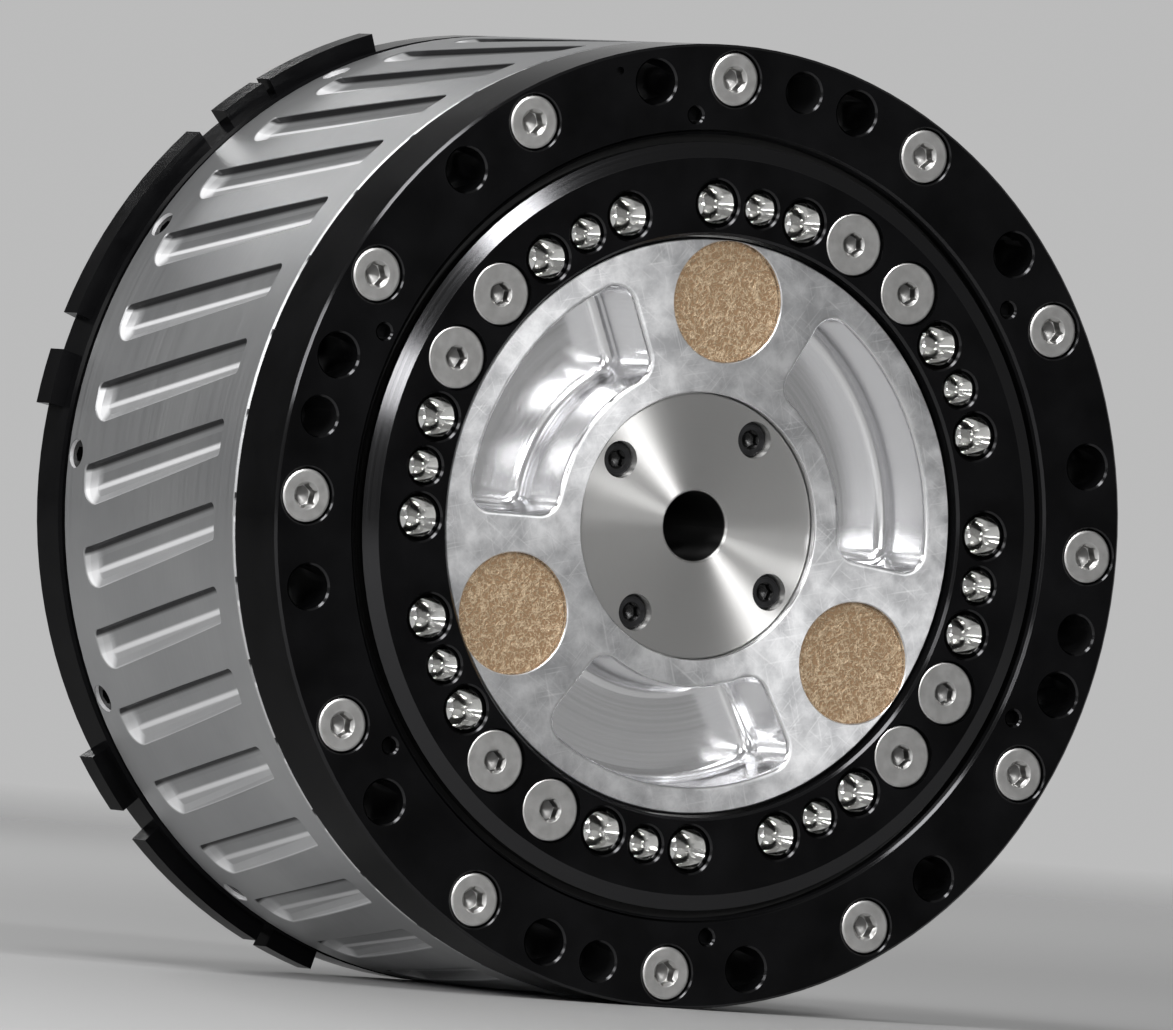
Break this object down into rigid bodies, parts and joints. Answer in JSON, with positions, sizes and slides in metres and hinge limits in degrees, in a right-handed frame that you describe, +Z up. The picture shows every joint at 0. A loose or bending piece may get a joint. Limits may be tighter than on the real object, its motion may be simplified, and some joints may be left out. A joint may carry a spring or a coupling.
{
  "type": "planetary joint module",
  "caption": "Hollow-shaft geared motor module for a robot joint: black flange and output ring, finned silver can, planetary gears and motor inside.",
  "frame": {"origin": "centre of the mounting hole circle on the front flange's face", "axes": "-Y out of the output face along the axis, +Y towards the back, +Z up in the picture"},
  "size_m": [0.1002, 0.0555, 0.098],
  "materials": {
    "black_anodised": "satin black anodised",
    "gloss_black": "gloss black anodised",
    "silver_machined": "finely machined, clear",
    "silver_carrier": "bright machined with worn marks",
    "plate_aluminium": "machined",
    "screw_steel": "zinc flake grey",
    "black_oxide": "black oxide",
    "polished_steel": "polished",
    "sintered_bronze": "sintered, pitted",
    "turned_steel": "face turned",
    "bearing_steel": "ground",
    "gear_steel": "ground",
    "bush_bronze": "bored",
    "seal_rubber": "moulded",
    "core_steel": "laminated",
    "coil_copper": "enamelled copper",
    "magnet_nickel": "nickel plated",
    "bonded_magnet": "bonded",
    "board": "solder mask",
    "brass_posts": "plated",
    "socket_plastic": "moulded"
  },
  "bodies": {
    "housing": {"front_flange": "black_anodised", "flange_screws": "screw_steel", "motor_housing": "silver_machined", "housing_plugs": "black_oxide", "rear_cover": "gloss_black", "cover_screws": "screw_steel", "power_socket": "socket_plastic", "signal_socket": "socket_plastic", "socket_pins": "brass_posts", "dust_seal": "seal_rubber", "bearing_outer_ring": "bearing_steel", "ring_gear": "gear_steel", "motor_plate": "plate_aluminium", "rotor_bearing_front": "bearing_steel", "rotor_bearing_rear": "bearing_steel", "stator_core": "core_steel", "stator_coils": "coil_copper", "rear_plate": "plate_aluminium", "driver_board": "board", "board_standoffs": "brass_posts"},
    "output": {"output_ring": "black_anodised", "output_screws": "screw_steel", "thread_inserts": "polished_steel", "dowel_bushes": "polished_steel", "bearing_inner_ring": "bearing_steel", "bearing_rollers": "bearing_steel", "carrier_front": "silver_carrier", "carrier_rear": "silver_carrier", "carrier_screws": "screw_steel", "planet_pin_1": "sintered_bronze", "planet_pin_2": "sintered_bronze", "planet_pin_3": "sintered_bronze", "centre_shaft": "turned_steel", "hub_screws": "black_oxide", "sun_bearing": "bearing_steel"},
    "rotor": {"sun_shaft": "gear_steel", "rotor_hub": "plate_aluminium", "rotor_core": "core_steel", "rotor_magnets": "magnet_nickel", "encoder_magnet": "bonded_magnet"},
    "planet_1": {"planet_gear_1": "gear_steel", "planet_bush_1": "bush_bronze"},
    "planet_2": {"planet_gear_2": "gear_steel", "planet_bush_2": "bush_bronze"},
    "planet_3": {"planet_gear_3": "gear_steel", "planet_bush_3": "bush_bronze"}
  },
  "joints": [
    {"name": "output_spin", "type": "hinge", "parent": "housing", "child": "output", "pos_m": [0, 0, 0], "axis": [0, -1, 0], "continuous": true},
    {"name": "rotor_spin", "type": "hinge", "parent": "housing", "child": "rotor", "pos_m": [0, 0, 0], "axis": [0, -1, 0], "continuous": true},
    {"name": "planet_1_spin", "type": "hinge", "parent": "output", "child": "planet_1", "pos_m": [0.0014, 0, 0.02296], "axis": [0, -1, 0], "continuous": true},
    {"name": "planet_2_spin", "type": "hinge", "parent": "output", "child": "planet_2", "pos_m": [-0.02058, 0, -0.01026], "axis": [0, -1, 0], "continuous": true},
    {"name": "planet_3_spin", "type": "hinge", "parent": "output", "child": "planet_3", "pos_m": [0.01918, 0, -0.01269], "axis": [0, -1, 0], "continuous": true}
  ],
  "couplings": [
    {"joint": "rotor_spin", "follows": "output_spin", "ratio": 6},
    {"joint": "planet_1_spin", "follows": "output_spin", "ratio": -2.5},
    {"joint": "planet_2_spin", "follows": "output_spin", "ratio": -2.5},
    {"joint": "planet_3_spin", "follows": "output_spin", "ratio": -2.5}
  ]
}
